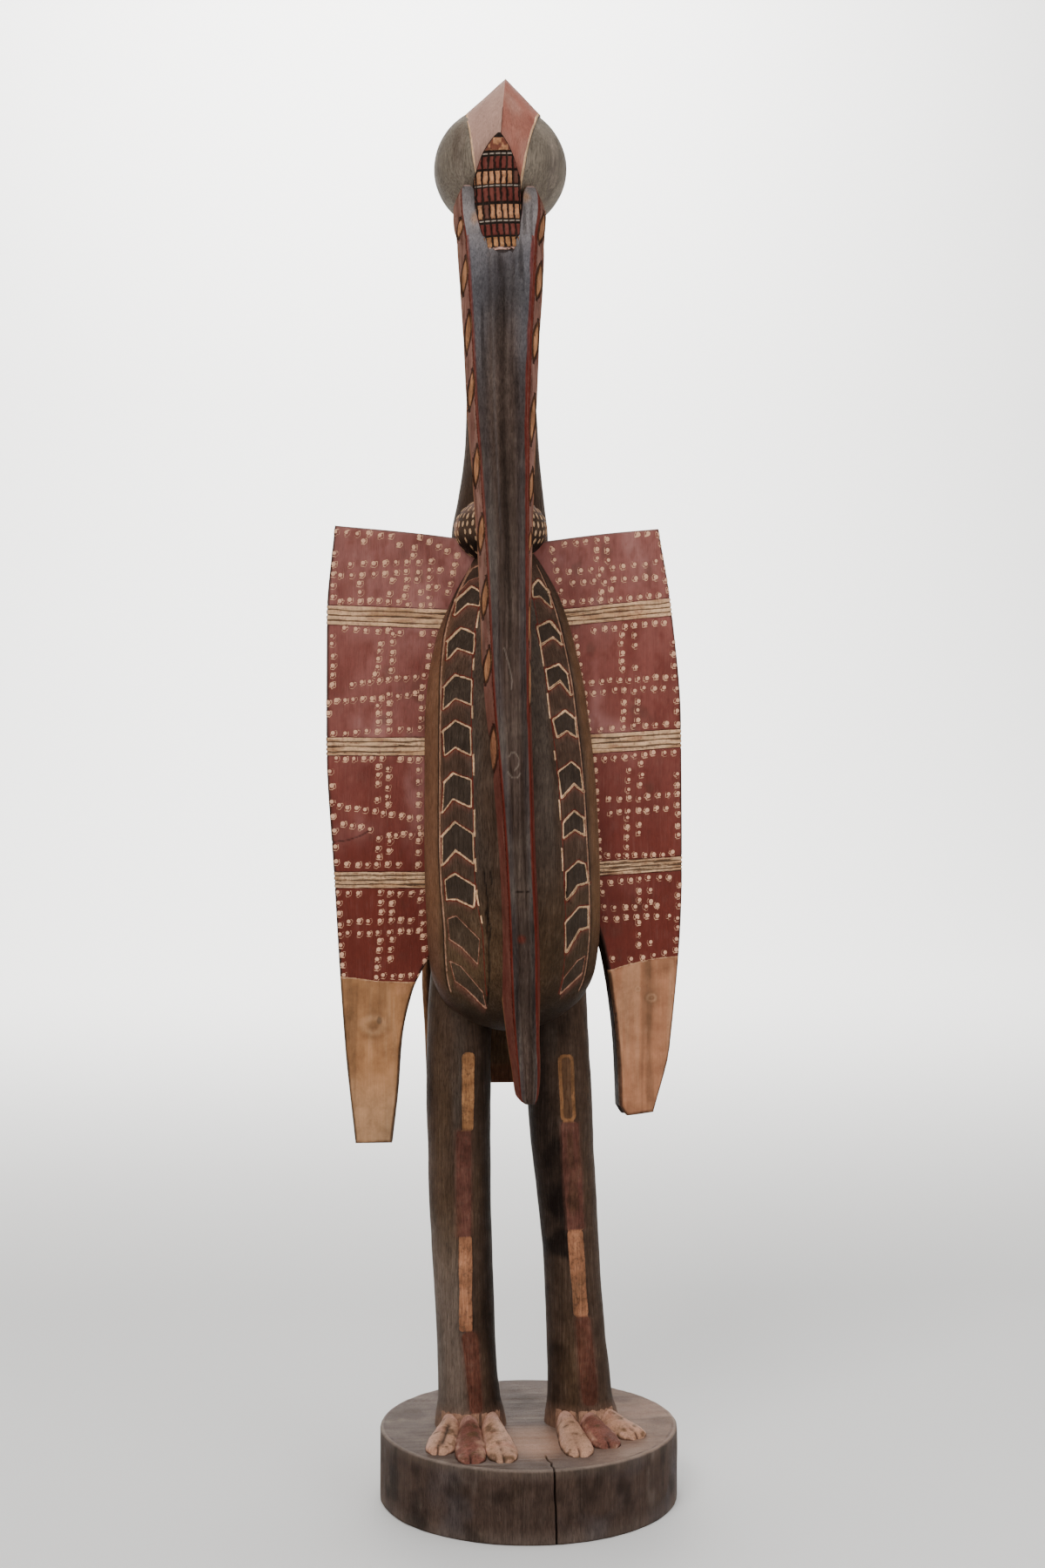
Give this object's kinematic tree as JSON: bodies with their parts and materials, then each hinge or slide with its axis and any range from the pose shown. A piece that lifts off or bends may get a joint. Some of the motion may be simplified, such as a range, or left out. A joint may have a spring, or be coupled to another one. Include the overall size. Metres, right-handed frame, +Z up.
{
  "type": "carved bird figure",
  "caption": "Tall standing hornbill carved from one log, with a long beak that curves down to the belly, plank wings, and legs that grow from a round base.",
  "frame": {"origin": "centre of the round base's underside", "axes": "+Z up from the base to the crest, -Y the way the bird faces, +X towards the bird's left wing"},
  "size_m": [0.3834, 0.315, 1.498],
  "materials": {
    "painted_wood": "hand-carved wood, stained dark and painted with earth colours, worn and matt"
  },
  "bodies": {
    "root": {"carved_bird": "painted_wood"}
  },
  "joints": []
}
